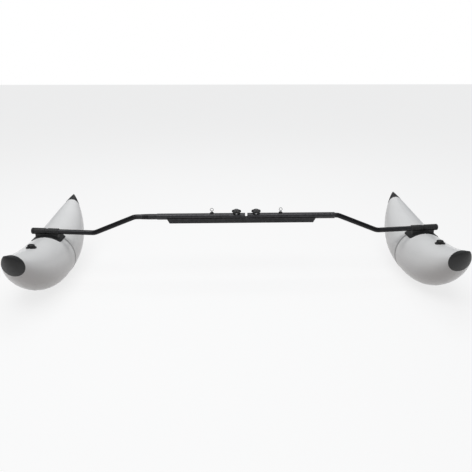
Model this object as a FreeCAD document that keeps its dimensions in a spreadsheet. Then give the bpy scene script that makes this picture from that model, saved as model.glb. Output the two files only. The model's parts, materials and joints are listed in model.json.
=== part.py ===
import FreeCAD, Part
import os
from math import atan2, cos, degrees, pi, radians, sin, sqrt, tan

from FreeCAD import Placement, Rotation, Vector

# Kayak outrigger: a deck rail with two receiver tubes, two bent telescoping arms and two inflated floats.
# X runs along the crossbar, Y along the boat (the floats' noses point to -Y), Z is up.
# The origin is on the floor, midway between the floats. Lengths are millimetres, angles degrees.
# "Out" is a distance from the gap between the receivers towards the float, "up" a height over their axis.

NAME = "kayak_outrigger"
OUT_DIR = "parts"

SIZES = (
    # deck rail
    ("rail_length", 725, "aluminium rail without its plugs"),
    ("rail_width", 38, "across the rail"),
    ("rail_drop", 31, "receiver axis down to the rail's underside"),
    ("lip_drop", 7, "receiver axis down to the top of the rail's lips"),
    ("slot_width", 8.4, "narrow part of the T slot"),
    ("slot_lip", 3, "wall over the T slot's wide part, under the receiver"),
    ("pocket_width", 17, "wide part of the T slot"),
    ("pocket_height", 5, "wide part of the T slot"),
    ("groove_depth", 1.2, "grip grooves along the rail's sides"),
    ("groove_height", 2, "grip grooves along the rail's sides"),
    ("groove_pitch", 5.5, "from one side groove to the next"),
    ("first_groove_drop", 12.5, "receiver axis down to the first side groove"),
    ("deck_hole", 6.6, "clearance hole for a deck bolt"),
    ("deck_hole_spacing", 560, "between the two deck bolts"),
    ("plug_face", 3, "thickness of a rail end plug at its top"),
    ("plug_tongue", 14, "reach of an end plug's tongue into the T slot"),
    ("plug_slant", 13, "how much further in the plug's slanted face is at its bottom"),
    # receiver tubes
    ("receiver_diameter", 31.75, "outside of a receiver tube"),
    ("receiver_wall", 1.5, "receiver tube wall"),
    ("receiver_length", 446, "receiver tube"),
    ("receiver_gap", 12, "between the two receivers' inner ends"),
    ("running_gap", 0.08, "radial clearance of whatever slides or turns"),
    # star knobs and their bolts
    ("knob_out", 50, "gap centre to the knob's axis"),
    ("knob_lobe_circle", 32, "circle through the centres of the knob's lobes"),
    ("knob_lobe", 17, "diameter of one lobe"),
    ("knob_lobes", 5, "lobes on a knob"),
    ("knob_core", 34, "diameter of the knob between its lobes"),
    ("knob_thickness", 12, "height of the lobes"),
    ("knob_hub", 32, "diameter of the knob's raised hub at its foot"),
    ("knob_hub_top", 17, "diameter of the hub at its top"),
    ("knob_hub_height", 5.5, "hub over the lobes"),
    ("knob_edge", 2, "rounding of the knob's edges"),
    ("washer_diameter", 19, "saddle washer under the knob"),
    ("washer_lift", 2.6, "saddle washer's flat face over the receiver's top"),
    ("knob_gap", 0.1, "knob to washer"),
    ("bolt_diameter", 6, "clamping bolt"),
    ("bolt_head", 11, "metal insert in the knob's hub"),
    ("bolt_hole_gap", 0.3, "radial clearance of the bolt in the receiver's walls"),
    ("nut_length", 14, "T nut along the rail"),
    ("nut_gap", 0.2, "clearance of the T nut in its pocket"),
    # ring plungers
    ("plunger_out", 175, "gap centre to the plunger's axis"),
    ("plunger_diameter", 14, "plunger housing"),
    ("plunger_foot", 20, "flared foot of the housing"),
    ("plunger_foot_height", 2.5, "flared foot over the receiver's top"),
    ("plunger_top_up", 21.8, "receiver axis up to the housing's top"),
    ("plunger_roof", 1, "wall over the spring"),
    ("plunger_cavity", 9.4, "inside diameter of the housing"),
    ("plunger_floor", 1, "wall under the pin's collar"),
    ("pin_diameter", 6, "locking pin"),
    ("pin_collar", 1.2, "thickness of the pin's collar"),
    ("pin_travel", 3, "from parked to locked"),
    ("pin_parked_gap", 0.3, "pin's tip over the sliding tube when parked"),
    ("pin_hole_gap", 0.25, "radial clearance of the pin in the sliding tube's holes"),
    ("eye_wall", 1.1, "metal over the ring's eye in the pin's head"),
    ("ring_radius", 7.8, "pull ring, to the middle of its wire"),
    ("ring_wire", 2.4, "pull ring wire"),
    ("eye_gap", 0.12, "clearance of the ring in its eye"),
    # telescoping tubes and arms
    ("hole_pitch", 24, "between the lock holes along the sliding tube"),
    ("hole_count", 5, "lock hole stations"),
    ("left_steps", 4, "stations that the left arm is drawn out"),
    ("right_steps", 0, "stations that the right arm is drawn out"),
    ("slide_diameter_gap", 0.15, "sliding tube is this much under the receiver's bore"),
    ("slide_inner_out", 67, "sliding tube's inner end when pushed in"),
    ("taper_length", 40, "swaged end of the sliding tube"),
    ("taper_tip_wall", 0.5, "wall at the tip of the swage"),
    ("taper_to_bend", 34, "swage's tip to the upper bend"),
    ("arm_diameter", 25.4, "arm tube"),
    ("arm_wall", 1.6, "arm tube wall"),
    ("arm_overlap", 46, "arm tube inside the sliding tube behind the swage"),
    ("upper_bend_out", 471, "gap centre to the upper bend when pushed in"),
    ("arm_run", 212, "upper bend to lower bend, across"),
    ("arm_drop", 85, "upper bend to lower bend, down"),
    ("bend_radius", 60, "both bends, to the tube's axis"),
    ("arm_end_length", 316, "lower bend to the outer face of the end cap"),
    ("arm_rise", 2.67, "slope of the arm's outer end, upwards to the outside, degrees"),
    ("cap_length", 15, "end cap outside the arm"),
    ("cap_diameter", 32.6, "end cap"),
    ("cap_plug", 20, "end cap inside the arm"),
    ("cap_round", 5, "rounding of the cap's outer edge"),
    ("glide_width", 6.5, "glide ring in the receiver"),
    ("glide_neck", 16, "neck that the glide ring turns on"),
    ("glide_flange", 22, "flange that keeps the glide ring on"),
    ("glide_flange_thickness", 2, "flange that keeps the glide ring on"),
    ("glide_side_gap", 0.3, "glide ring's clearance along its neck"),
    ("glide_plug", 7, "glide plug inside the sliding tube"),
    # sleeve that hangs the float on the arm
    ("sleeve_diameter", 33, "outside of the sleeve's two barrels"),
    ("sleeve_neck", 28.6, "outside between the barrels"),
    ("barrel_length", 53, "each barrel"),
    ("sleeve_neck_length", 14, "between the barrels"),
    ("cap_gap", 0.5, "end cap to sleeve"),
    ("foot_width", 24, "foot under the sleeve, along the boat"),
    ("foot_length", 112, "foot under the sleeve, along the arm"),
    # float
    ("float_length", 882, "nose to tail"),
    ("float_diameter", 248, "middle of the float"),
    ("float_drop", 21.1, "arm axis down to the top of the float's middle"),
    ("float_end_rise", 85, "top of the nose and tail over the top of the middle"),
    ("float_bow", 2.1, "exponent of the float's upward curve"),
    ("float_fullness", 2.8, "exponent that keeps the float full towards its ends"),
    ("float_taper", 0.82, "exponent of the float's pointed ends"),
    ("float_wall", 1.2, "coated fabric"),
    ("float_sole", 0.5, "depth of the flat that the float stands on"),
    ("chamber_reach", 0.93, "share of the half length that the air chamber fills"),
    ("seam_behind", 20, "girth seam behind the arm"),
    ("seam_width", 14, "girth seam band"),
    ("seam_lift", 0.8, "thickness of the girth seam band"),
    ("nose_patch_reach", 60, "nose patch, from the tip"),
    ("tail_patch_reach", 46, "tail patch, from the tip"),
    ("end_patch_lift", 1.2, "thickness of the end patches"),
    ("saddle_length", 84, "saddle patch along the boat"),
    ("saddle_behind", 7, "saddle patch's middle behind the arm"),
    ("saddle_width", 148, "saddle patch across the float"),
    ("saddle_lift", 2, "thickness of the saddle patch"),
    # valve
    ("valve_ahead", 195, "valve in front of the arm"),
    ("valve_flange", 46, "welded flange"),
    ("valve_flange_lift", 3, "flange over the float's skin"),
    ("valve_neck", 30, "threaded neck"),
    ("valve_neck_lift", 8, "neck over the float's skin"),
    ("valve_throat", 24, "throat through the float's skin"),
    ("valve_bore", 19, "air passage"),
    ("valve_depth", 16, "throat inside the float"),
    ("valve_cap_diameter", 34, "screw cap"),
    ("valve_cap_lift", 17, "top of the cap over the float's skin"),
    ("valve_cap_round", 8, "rounding of the cap's top"),
    ("valve_cap_gap", 0.3, "cap to flange, and cap to neck"),
    ("spider_thickness", 3, "grid that carries the diaphragm"),
    ("spider_hole", 4.8, "air holes in the grid"),
    ("spider_holes", 4, "air holes in the grid"),
    ("diaphragm_thickness", 1, "rubber flap under the grid"),
    ("diaphragm_stem", 3, "stem that holds the flap"),
    ("diaphragm_button", 6, "head on the stem"),
    ("diaphragm_travel", 2.5, "how far the stem can be pushed"),
)

STATIONS_PER_END = 9
UP = Vector(0, 0, 1)
ALONG = Vector(1, 0, 0)
ACROSS = Vector(0, 1, 0)
ORIGIN = Vector(0, 0, 0)
TO_X = Rotation(ACROSS, 90)
FACING = Rotation(ALONG, 90)

doc = FreeCAD.newDocument(NAME)
nodes = []


def make_sheet(label, rows):
    """A spreadsheet with one named number to a row."""
    table = doc.addObject("Spreadsheet::Sheet", label)
    for row, (alias, number, note) in enumerate(rows, 1):
        table.set(f"A{row}", alias)
        table.set(f"B{row}", repr(round(float(number), 6)))
        table.set(f"C{row}", note)
        table.setAlias(f"B{row}", alias)
    doc.recompute()
    return table


sizes = make_sheet("Sizes", SIZES)


def size(alias):
    return float(getattr(sizes, alias))


def work_out_places():
    """Places that follow from the sizes by trigonometry, for the second sheet."""
    rise = radians(size("arm_rise"))
    radius = size("float_diameter") / 2
    hang = size("float_drop") + radius
    sleeve_length = 2 * size("barrel_length") + size("sleeve_neck_length")
    sleeve_from_end = size("cap_length") + size("cap_gap") + sleeve_length / 2
    reach = size("arm_end_length") - sleeve_from_end
    sleeve_height = hang * cos(rise) + radius - size("float_sole")
    drawn = (size("left_steps") + size("right_steps")) / 2 * size("hole_pitch")
    bend_out = size("upper_bend_out") + size("arm_run") + drawn
    steepness = size("float_end_rise") * size("float_bow") / (size("float_length") / 2)
    valve_share = size("valve_ahead") / (size("float_length") / 2)
    return (
        ("axis_height", sleeve_height + size("arm_drop") - reach * sin(rise), "floor to receiver axis"),
        ("gap_x", (size("left_steps") - size("right_steps")) * size("hole_pitch") / 2, "gap between receivers"),
        ("lower_bend_x", bend_out, "lower bend of the arm"),
        ("sleeve_x", bend_out + reach * cos(rise), "middle of the sleeve"),
        ("sleeve_height", sleeve_height, "floor to the middle of the sleeve"),
        ("sleeve_from_end", sleeve_from_end, "middle of the sleeve to the end cap's face"),
        ("valve_slope", degrees(atan2(steepness * valve_share ** (size("float_bow") - 1), 1)), "valve's lean"),
        ("slide_bore", size("arm_diameter"), "bore of the sliding tube"),
    )


places = make_sheet("Places", work_out_places())


def place(alias):
    return float(getattr(places, alias))


def bind(thing, **rules):
    """Bind properties to cells. A double underscore in a name stands for a dot."""
    for prop, rule in rules.items():
        thing.setExpression(prop.replace("__", "."), rule)
    return thing


def rod(name, diameter, length, x="0", y="0", z="0", turn=None, placed=None):
    """A round bar of a diameter and length given as rules, along +Z before its turn."""
    bar = doc.addObject("Part::Cylinder", name)
    bar.Placement = placed or Placement(ORIGIN, turn or Rotation())
    bind(bar, Radius=f"({diameter}) / 2", Height=length)
    if placed is None:
        bind(bar, Placement__Base__x=x, Placement__Base__y=y, Placement__Base__z=z)
    return bar


def block(name, dx, dy, dz, x, y, z):
    """A box of three rules, its lowest corner at three more."""
    brick = doc.addObject("Part::Box", name)
    bind(brick, Length=dx, Width=dy, Height=dz)
    return bind(brick, Placement__Base__x=x, Placement__Base__y=y, Placement__Base__z=z)


def fuse(name, *pieces):
    joined = doc.addObject("Part::MultiFuse", name)
    joined.Shapes = list(pieces)
    return joined


def cut(name, base, *tools):
    left = doc.addObject("Part::Cut", name)
    left.Base = base
    left.Tool = tools[0] if len(tools) == 1 else fuse(f"{name}_tools", *tools)
    return left


def fixed(name, shape):
    """A shape that Part's own functions made from the sheets."""
    feature = doc.addObject("Part::Feature", name)
    feature.Shape = shape
    return feature


def node(feature, label):
    feature.Label = label
    nodes.append(feature)
    return feature


def mirrored(feature, label, plane_x):
    """The left-hand twin of a right-hand piece, over an upright plane across the crossbar."""
    twin = doc.addObject("Part::Mirroring", f"{feature.Name}_twin")
    twin.Source = feature
    twin.Normal = ALONG
    bind(twin, Base__x=plane_x)
    return node(twin, label)


def pair(feature, stem, plane_x="0"):
    node(feature, f"right_{stem}")
    return mirrored(feature, f"left_{stem}", plane_x)


def centre_pair(feature, stem):
    """A pair that mirrors over the gap between the receivers."""
    return pair(feature, stem, "Places.gap_x")


AXIS = "Places.axis_height"
GAP = "Places.gap_x"
RECEIVER = "Sizes.receiver_diameter"
BORE = "(Sizes.receiver_diameter - 2 * Sizes.receiver_wall)"
SLIDE = f"({BORE} - Sizes.slide_diameter_gap)"


def out(rule):
    """The X of something at a distance out from the gap, on the right."""
    return f"{GAP} + {rule}"


def up(rule):
    """The Z of something at a height over the receivers' axis."""
    return f"{AXIS} + {rule}"


def make_rail():
    """Extruded rail: a cradle for the receivers, a T slot under it and grooved sides."""
    half = "Sizes.rail_length / 2"
    start = f"{GAP} / 2 - {half}"
    over = "1"
    cradle = f"(Sizes.receiver_diameter / 2 + Sizes.running_gap)"
    bar = block("rail_bar", "Sizes.rail_length", "Sizes.rail_width", "Sizes.rail_drop - Sizes.lip_drop",
                start, "-Sizes.rail_width / 2", up("-Sizes.rail_drop"))
    bed = rod("rail_bed", f"2 * {cradle}", f"Sizes.rail_length + 2 * {over}",
              f"{start} - {over}", "0", AXIS, TO_X)
    pocket_top = f"({cradle} + Sizes.slot_lip)"
    slot = block("rail_slot", f"Sizes.rail_length + 2 * {over}", "Sizes.slot_width", pocket_top,
                 f"{start} - {over}", "-Sizes.slot_width / 2", up(f"-{pocket_top}"))
    pocket = block("rail_pocket", f"Sizes.rail_length + 2 * {over}", "Sizes.pocket_width",
                   "Sizes.pocket_height", f"{start} - {over}", "-Sizes.pocket_width / 2",
                   up(f"-{pocket_top} - Sizes.pocket_height"))
    cuts = [bed, slot, pocket]
    for side, face in (("front", "-Sizes.rail_width / 2"),
                       ("back", "Sizes.rail_width / 2 - Sizes.groove_depth")):
        for index in range(3):
            drop = f"-Sizes.first_groove_drop - {index} * Sizes.groove_pitch - Sizes.groove_height"
            cuts.append(block(f"rail_groove_{side}_{index}", f"Sizes.rail_length + 2 * {over}",
                              "Sizes.groove_depth", "Sizes.groove_height", f"{start} - {over}", face,
                              up(drop)))
    for index, sign in enumerate("-+"):
        cuts.append(rod(f"rail_deck_hole_{index}", "Sizes.deck_hole", "Sizes.rail_drop",
                        f"{GAP} / 2 {sign} Sizes.deck_hole_spacing / 2", "0", up("-Sizes.rail_drop - 1")))
    node(cut("rail_solid", bar, *cuts), "deck_rail")


def make_rail_plug(label, sign):
    """Plug at one end of the rail: a slanted face, and a tongue in the T slot."""
    cradle = size("receiver_diameter") / 2 + size("running_gap")
    end = place("gap_x") / 2 + sign * size("rail_length") / 2
    low = place("axis_height") - size("rail_drop")
    high = place("axis_height") - size("lip_drop")
    half = size("rail_width") / 2
    face = size("plug_face")
    slant = size("plug_slant")
    outline = (
        Vector(end, -half, high),
        Vector(end + sign * (face + slant), -half, high),
        Vector(end + sign * face, -half, low),
        Vector(end, -half, low),
    )
    body = Part.Face(Part.makePolygon(outline + outline[:1])).extrude(Vector(0, 2 * half, 0))
    bed = Part.makeCylinder(cradle, 4 * (face + slant), Vector(end - 2 * (face + slant), 0,
                            place("axis_height")), ALONG)
    pocket_top = place("axis_height") - cradle - size("slot_lip")
    tongue = Part.makeBox(size("plug_tongue"), size("pocket_width"), size("pocket_height"))
    start = end - size("plug_tongue") if sign > 0 else end
    tongue.translate(Vector(start, -size("pocket_width") / 2, pocket_top - size("pocket_height")))
    node(fixed(f"{label}_solid", body.cut(bed).fuse(tongue).removeSplitter()), label)


def make_receiver():
    """Receiver tube with holes for the clamping bolt and the plunger."""
    start = "Sizes.receiver_gap / 2"
    tube = rod("receiver_bar", RECEIVER, "Sizes.receiver_length", out(start), "0", AXIS, TO_X)
    bore = rod("receiver_bore", BORE, "Sizes.receiver_length + 2", out(f"{start} - 1"), "0", AXIS, TO_X)
    bolt = rod("receiver_bolt_hole", "Sizes.bolt_diameter + 2 * Sizes.bolt_hole_gap", f"2 * {RECEIVER}",
               out("Sizes.knob_out"), "0", up(f"-{RECEIVER}"))
    nose = rod("receiver_plunger_hole", "Sizes.plunger_diameter", RECEIVER,
               out("Sizes.plunger_out"), "0", AXIS)
    centre_pair(cut("receiver_solid", tube, bore, bolt, nose), "receiver_tube")


def receiver_skin(name):
    """A bar the size of the receiver, to shape what sits on it."""
    return rod(name, RECEIVER, "Sizes.receiver_length", out("Sizes.receiver_gap / 2"), "0", AXIS, TO_X)


KNOB_FOOT = f"({RECEIVER} / 2 + Sizes.washer_lift + Sizes.knob_gap)"


def make_knob():
    """Star knob: a core with lobes round it and a raised hub."""
    x = out("Sizes.knob_out")
    core = rod("knob_core_disc", "Sizes.knob_core", "Sizes.knob_thickness", x, "0", up(KNOB_FOOT))
    pieces = [core]
    count = int(size("knob_lobes"))
    for index in range(count):
        angle = 360 * index / count + 90
        pieces.append(rod(
            f"knob_lobe_{index}", "Sizes.knob_lobe", "Sizes.knob_thickness",
            f"{x} + Sizes.knob_lobe_circle / 2 * cos({angle} deg)",
            f"Sizes.knob_lobe_circle / 2 * sin({angle} deg)", up(KNOB_FOOT)))
    star = fuse("knob_star", *pieces)
    doc.recompute()
    top = place("axis_height") + size("receiver_diameter") / 2 + size("washer_lift") + size("knob_gap")
    levels = (top, top + size("knob_thickness"))
    rims = [number for number, edge in enumerate(star.Shape.Edges, 1)
            if any(abs(edge.BoundBox.ZMin - level) < 0.01 > edge.BoundBox.ZLength - 0.01 for level in levels)]
    rounded = doc.addObject("Part::Fillet", "knob_rounded")
    rounded.Base = star
    rounded.Edges = [(number, size("knob_edge"), size("knob_edge")) for number in rims]
    hub = doc.addObject("Part::Cone", "knob_hub_cone")
    bind(hub, Radius1="Sizes.knob_hub / 2", Radius2="Sizes.knob_hub_top / 2", Height="Sizes.knob_hub_height",
         Placement__Base__x=x, Placement__Base__z=up(f"{KNOB_FOOT} + Sizes.knob_thickness"))
    solid = fuse("knob_whole", rounded, hub)
    hole = rod("knob_hole", "Sizes.bolt_head", "Sizes.knob_thickness + Sizes.knob_hub_height + 2",
               x, "0", up(f"{KNOB_FOOT} - 1"))
    centre_pair(cut("knob_solid", solid, hole), "star_knob")


def make_bolt():
    """Clamping bolt, with the metal insert that the knob is moulded on."""
    x = out("Sizes.knob_out")
    pocket_top = "(Sizes.receiver_diameter / 2 + Sizes.running_gap + Sizes.slot_lip)"
    foot = f"-{pocket_top} - Sizes.pocket_height + 2 * Sizes.nut_gap"
    head = f"{KNOB_FOOT} + Sizes.knob_thickness + Sizes.knob_hub_height"
    shank = rod("bolt_shank", "Sizes.bolt_diameter", f"{head} - ({foot})", x, "0", up(foot))
    insert = rod("bolt_insert", "Sizes.bolt_head", "Sizes.knob_thickness + Sizes.knob_hub_height",
                 x, "0", up(KNOB_FOOT))
    centre_pair(fuse("bolt_solid", shank, insert), "clamp_bolt")


def make_washer():
    """Saddle washer that seats the knob on the round tube."""
    x = out("Sizes.knob_out")
    disc = rod("washer_disc", "Sizes.washer_diameter", f"{RECEIVER} / 2 + Sizes.washer_lift", x, "0", AXIS)
    hole = rod("washer_hole", "Sizes.bolt_diameter + 2 * Sizes.bolt_hole_gap", RECEIVER, x, "0", AXIS)
    centre_pair(cut("washer_solid", disc, receiver_skin("washer_seat"), hole), "saddle_washer")


def make_nut():
    """T nut in the rail's slot, under the receiver."""
    pocket_top = "(Sizes.receiver_diameter / 2 + Sizes.running_gap + Sizes.slot_lip)"
    plate = block("nut_plate", "Sizes.nut_length", "Sizes.pocket_width - 2 * Sizes.nut_gap",
                  "Sizes.pocket_height - 2 * Sizes.nut_gap", out("Sizes.knob_out - Sizes.nut_length / 2"),
                  "-Sizes.pocket_width / 2 + Sizes.nut_gap",
                  up(f"-{pocket_top} - Sizes.pocket_height + Sizes.nut_gap"))
    hole = rod("nut_hole", "Sizes.bolt_diameter + 2 * Sizes.running_gap", RECEIVER,
               out("Sizes.knob_out"), "0", up(f"-{pocket_top} - Sizes.pocket_height"))
    centre_pair(cut("nut_solid", plate, hole), "t_nut")


PIN_TIP = f"({SLIDE} / 2 + Sizes.pin_parked_gap)"
COLLAR = f"({BORE} / 2 + Sizes.plunger_floor + Sizes.pin_travel)"
CEILING = "(Sizes.plunger_top_up - Sizes.plunger_roof)"
EYE_RADIUS = "(Sizes.ring_wire / 2 + Sizes.pin_diameter ^ 2 / 8 / Sizes.ring_radius + Sizes.eye_gap)"
EYE_UP = f"(Sizes.plunger_top_up + Sizes.pin_travel + {EYE_RADIUS} + Sizes.eye_gap)"


def make_plunger():
    """Ring plunger: housing on the receiver, locking pin with its collar, wave spring and pull ring."""
    x = out("Sizes.plunger_out")
    barrel = rod("plunger_barrel", "Sizes.plunger_diameter", "Sizes.plunger_top_up", x, "0", AXIS)
    foot = rod("plunger_foot_disc", "Sizes.plunger_foot", f"{RECEIVER} / 2 + Sizes.plunger_foot_height",
               x, "0", AXIS)
    seated_foot = cut("plunger_seated_foot", foot, receiver_skin("plunger_seat"))
    housing = fuse("plunger_outside", barrel, seated_foot)
    bore = rod("plunger_tube_bore", BORE, "Sizes.plunger_foot * 2",
               out("Sizes.plunger_out - Sizes.plunger_foot"), "0", AXIS, TO_X)
    cavity = rod("plunger_cavity_bar", "Sizes.plunger_cavity",
                 f"{CEILING} - {BORE} / 2 - Sizes.plunger_floor", x, "0",
                 up(f"{BORE} / 2 + Sizes.plunger_floor"))
    way = rod("plunger_way", "Sizes.pin_diameter + 2 * Sizes.running_gap", f"2 * {RECEIVER}", x, "0", AXIS)
    centre_pair(cut("plunger_solid", housing, bore, cavity, way), "plunger_housing")

    head = f"{EYE_UP} + {EYE_RADIUS} + Sizes.eye_wall"
    shank = rod("pin_shank", "Sizes.pin_diameter", f"{head} - {PIN_TIP}", x, "0", up(PIN_TIP))
    collar = rod("pin_collar_disc", "Sizes.plunger_cavity - 2 * Sizes.running_gap", "Sizes.pin_collar",
                 x, "0", up(COLLAR))
    eye = rod("pin_eye", f"2 * {EYE_RADIUS}", "Sizes.pin_diameter * 2",
              out("Sizes.plunger_out - Sizes.pin_diameter"), "0", up(EYE_UP), TO_X)
    centre_pair(cut("pin_solid", fuse("pin_whole", shank, collar), eye), "locking_pin")

    coil = rod("spring_outside", "Sizes.plunger_cavity - 0.6", f"{CEILING} - {COLLAR} - Sizes.pin_collar",
               x, "0", up(f"{COLLAR} + Sizes.pin_collar"))
    middle = rod("spring_inside", "Sizes.pin_diameter + 0.6", RECEIVER, x, "0", up(COLLAR))
    centre_pair(cut("spring_solid", coil, middle), "plunger_spring")

    ring = doc.addObject("Part::Torus", "ring_loop")
    ring.Placement = Placement(ORIGIN, FACING)
    bind(ring, Radius1="Sizes.ring_radius", Radius2="Sizes.ring_wire / 2", Placement__Base__x=x,
         Placement__Base__z=up(f"{EYE_UP} + Sizes.ring_radius"))
    centre_pair(ring, "pull_ring")


def arm_x(rule):
    """The X of something on the right arm at a distance out when the arm is pushed in."""
    return f"{GAP} + {rule} + Sizes.right_steps * Sizes.hole_pitch"


TAPER_START = "(Sizes.upper_bend_out - Sizes.taper_to_bend - Sizes.taper_length)"


def make_slide_tube():
    """Sliding tube with a swaged outer end and cross-drilled lock holes."""
    start = "Sizes.slide_inner_out"
    straight = rod("slide_bar", SLIDE, f"{TAPER_START} - {start}", arm_x(start), "0", AXIS, TO_X)
    swage = doc.addObject("Part::Cone", "slide_swage")
    swage.Placement = Placement(ORIGIN, TO_X)
    bind(swage, Radius1=f"{SLIDE} / 2", Radius2="Places.slide_bore / 2 + Sizes.taper_tip_wall",
         Height="Sizes.taper_length", Placement__Base__x=arm_x(TAPER_START), Placement__Base__z=AXIS)
    bore = rod("slide_bore_bar", "Places.slide_bore", f"{TAPER_START} + Sizes.taper_length - {start} + 2",
               arm_x(f"{start} - 1"), "0", AXIS, TO_X)
    cuts = [bore]
    hole = "Sizes.pin_diameter + 2 * Sizes.pin_hole_gap"
    for step in range(int(size("hole_count"))):
        x = arm_x(f"Sizes.plunger_out - {step} * Sizes.hole_pitch")
        cuts.append(rod(f"slide_hole_up_{step}", hole, f"2 * {RECEIVER}", x, "0", up(f"-{RECEIVER}")))
        cuts.append(rod(f"slide_hole_across_{step}", hole, f"2 * {RECEIVER}", x, RECEIVER, AXIS, FACING))
    pair(cut("slide_solid", fuse("slide_outside", straight, swage), *cuts), "slide_tube")


def make_glide():
    """Glide at the sliding tube's inner end: a plug with a neck, and the ring that turns on it."""
    ring_start = "(Sizes.slide_inner_out - Sizes.glide_side_gap - Sizes.glide_width)"
    neck_start = f"({ring_start} - Sizes.glide_side_gap)"
    flange = rod("glide_flange_disc", "Sizes.glide_flange", "Sizes.glide_flange_thickness",
                 arm_x(f"{neck_start} - Sizes.glide_flange_thickness"), "0", AXIS, TO_X)
    neck = rod("glide_neck_bar", "Sizes.glide_neck", f"Sizes.slide_inner_out - {neck_start}",
               arm_x(neck_start), "0", AXIS, TO_X)
    plug = rod("glide_plug_bar", "Places.slide_bore", "Sizes.glide_plug", arm_x("Sizes.slide_inner_out"),
               "0", AXIS, TO_X)
    pair(fuse("glide_plug_solid", flange, neck, plug), "glide_plug")
    outside = rod("glide_ring_bar", SLIDE, "Sizes.glide_width", arm_x(ring_start), "0", AXIS, TO_X)
    inside = rod("glide_ring_hole", "Sizes.glide_neck + 2 * Sizes.running_gap", "Sizes.glide_width + 2",
                 arm_x(f"{ring_start} - 1"), "0", AXIS, TO_X)
    pair(cut("glide_ring_solid", outside, inside), "glide_ring")


def arm_corners():
    """Corners of the arm's axis, from inside the sliding tube to its outer end."""
    height = place("axis_height")
    rise = radians(size("arm_rise"))
    lower = Vector(place("lower_bend_x"), 0, height - size("arm_drop"))
    upper = Vector(lower.x - size("arm_run"), 0, height)
    inner = upper - ALONG * (size("taper_to_bend") + size("taper_length") + size("arm_overlap"))
    outer = lower + Vector(cos(rise), 0, sin(rise)) * (size("arm_end_length") - size("cap_length"))
    return inner, upper, lower, outer


def rounded_path(corners, radius):
    """Straight runs joined by tangent arcs."""
    edges = []
    start = corners[0]
    for before, corner, after in zip(corners, corners[1:], corners[2:]):
        back = (before - corner).normalize()
        on = (after - corner).normalize()
        half_turn = (pi - back.getAngle(on)) / 2
        tangent = radius * tan(half_turn)
        middle = (back + on).normalize() * (radius / cos(half_turn) - radius)
        edges.append(Part.makeLine(start, corner + back * tangent))
        edges.append(Part.Arc(corner + back * tangent, corner + middle, corner + on * tangent).toShape())
        start = corner + on * tangent
    edges.append(Part.makeLine(start, corners[-1]))
    return Part.Wire(edges)


def make_arm():
    """Bent arm tube, swept along its axis, and the cap in its outer end."""
    corners = arm_corners()
    path = rounded_path(corners, size("bend_radius"))
    walls = []
    for radius in (size("arm_diameter") / 2, size("arm_diameter") / 2 - size("arm_wall")):
        ring = Part.Wire(Part.makeCircle(radius, corners[0], ALONG))
        walls.append(path.makePipeShell([ring], True, False))
    solid = walls[0].cut(walls[1])
    expected = pi * size("arm_wall") * (size("arm_diameter") - size("arm_wall")) * path.Length
    print("arm tube volume over section times length:", round(solid.Volume / expected, 4))
    pair(fixed("arm_solid", solid), "arm_tube")

    along = (corners[3] - corners[2]).normalize()
    bore = size("arm_diameter") / 2 - size("arm_wall")
    head = Part.makeCylinder(size("cap_diameter") / 2, size("cap_length"), corners[3], along)
    rim = [edge for edge in head.Edges if edge.Closed
           and (edge.CenterOfMass - corners[3]).dot(along) > size("cap_length") / 2]
    head = head.makeFillet(size("cap_round"), rim)
    plug = Part.makeCylinder(bore, size("cap_plug"), corners[3] - along * size("cap_plug"), along)
    pair(fixed("cap_solid", head.fuse(plug)), "arm_end_cap")


def sleeve_frame():
    """Middle of the sleeve: X out along the arm's end, Z square to it."""
    middle = Vector(place("sleeve_x"), 0, place("sleeve_height"))
    return Placement(middle, Rotation(ACROSS, -size("arm_rise")))


def in_place(shape):
    """Turn a shape made in the sleeve's frame into its place."""
    moved = shape.copy()
    moved.Placement = sleeve_frame().multiply(shape.Placement)
    return moved


def sleeve_bar(diameter, start, length):
    return Part.makeCylinder(diameter / 2, length, Vector(start, 0, 0), ALONG)


def make_sleeve(saddle_top):
    """Two-barrelled sleeve round the arm, and the foot that joins it to the saddle patch."""
    barrel = size("barrel_length")
    neck = size("sleeve_neck_length")
    half = barrel + neck / 2
    outside = sleeve_bar(size("sleeve_diameter"), -half, barrel)
    outside = outside.fuse(sleeve_bar(size("sleeve_neck"), -neck / 2, neck))
    outside = outside.fuse(sleeve_bar(size("sleeve_diameter"), neck / 2, barrel))
    bore = sleeve_bar(size("arm_diameter") + 2 * size("running_gap"), -half - 1, 2 * half + 2)
    pair(fixed("sleeve_solid", in_place(outside.cut(bore))), "arm_sleeve")

    depth = size("float_drop") + size("float_diameter") / 2
    foot = Part.makeBox(size("foot_length"), size("foot_width"), depth,
                        Vector(-size("foot_length") / 2, -size("foot_width") / 2, -depth))
    foot = foot.cut(sleeve_bar(size("sleeve_diameter"), -half - 1, 2 * half + 2)).cut(saddle_top)
    pair(fixed("foot_solid", in_place(foot)), "sleeve_foot")


def float_section(share, grow):
    """Top and diameter of the float at a share of its half length, grown all round."""
    fullness = (1 - share ** size("float_fullness")) ** size("float_taper")
    diameter = size("float_diameter") * fullness + 2 * grow
    top = size("float_end_rise") * share ** size("float_bow") - size("float_drop") + grow
    return top, diameter


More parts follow.
